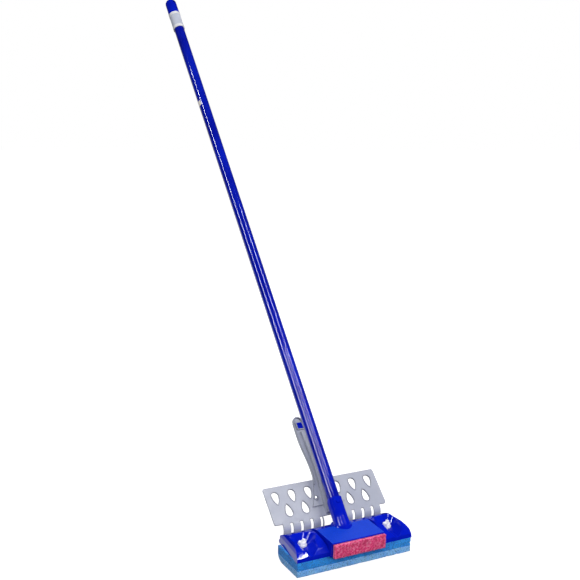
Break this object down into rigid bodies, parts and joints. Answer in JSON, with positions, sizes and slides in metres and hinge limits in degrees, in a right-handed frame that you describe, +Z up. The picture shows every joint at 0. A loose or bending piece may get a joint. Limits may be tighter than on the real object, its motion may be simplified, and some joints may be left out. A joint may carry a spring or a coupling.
{
  "type": "sponge mop with flip-over wringer",
  "caption": "Sponge mop on a long leaning tube: block sponge under a two-bay head, scrub pad on its nose, hinged wringer plate with lever behind.",
  "frame": {"origin": "centre of the sponge's flat underside", "axes": "+X along the head, the scrub pad faces -Y, the pole leans back towards +Y, +Z up"},
  "size_m": [0.2308, 0.9338, 1.0171],
  "materials": {
    "tube_paint": "gloss",
    "head_plastic": "gloss",
    "wringer_plastic": "satin",
    "white_plastic": "gloss",
    "band": "matt",
    "sticker": "matt",
    "steel": "bright",
    "sponge_dark": "open-cell foam",
    "sponge_pale": "open-cell foam",
    "scrub": "coarse non-woven fibre",
    "hook_strip": "hook tape"
  },
  "bodies": {
    "mop": {"pole_tube": "tube_paint", "hang_cap": "head_plastic", "cap_collar": "white_plastic", "collar_band": "band", "pole_label": "sticker", "head_body": "head_plastic", "hinge_rod": "steel", "rod_plug_left": "head_plastic", "rod_plug_right": "head_plastic", "sponge_upper": "sponge_dark", "sponge_lower": "sponge_pale", "sponge_backing": "white_plastic", "stud_left": "white_plastic", "stud_right": "white_plastic", "washer_left": "white_plastic", "washer_right": "white_plastic", "scrub_hook_strip": "hook_strip", "scrub_pad": "scrub"},
    "wringer": {"wringer_plate": "wringer_plastic", "wringer_lever": "wringer_plastic", "lever_screw_left": "steel", "lever_screw_right": "steel", "lever_plug": "head_plastic"},
    "nut_left": {"wing_nut_left": "white_plastic"},
    "nut_right": {"wing_nut_right": "white_plastic"},
    "button": {"pole_button": "head_plastic", "button_leaf": "steel"}
  },
  "joints": [
    {"name": "wringer_flip", "type": "hinge", "parent": "mop", "child": "wringer", "pos_m": [0, 0.042, 0.03], "axis": [-1, 0, 0], "range_deg": [-3, 221.5], "deforming": ["sponge_upper", "sponge_lower"]},
    {"name": "nut_left_turn", "type": "hinge", "parent": "mop", "child": "nut_left", "pos_m": [-0.086, 0.0005, 0.0378], "axis": [0, 0, 1], "continuous": true},
    {"name": "nut_right_turn", "type": "hinge", "parent": "mop", "child": "nut_right", "pos_m": [0.086, 0.0005, 0.0378], "axis": [0, 0, 1], "continuous": true},
    {"name": "button_press", "type": "slide", "parent": "mop", "child": "button", "axis": [0, 0.742, -0.6704], "range_m": [0, 0.0024], "stiffness_N_per_m": 600, "springref_m": -0.002}
  ]
}
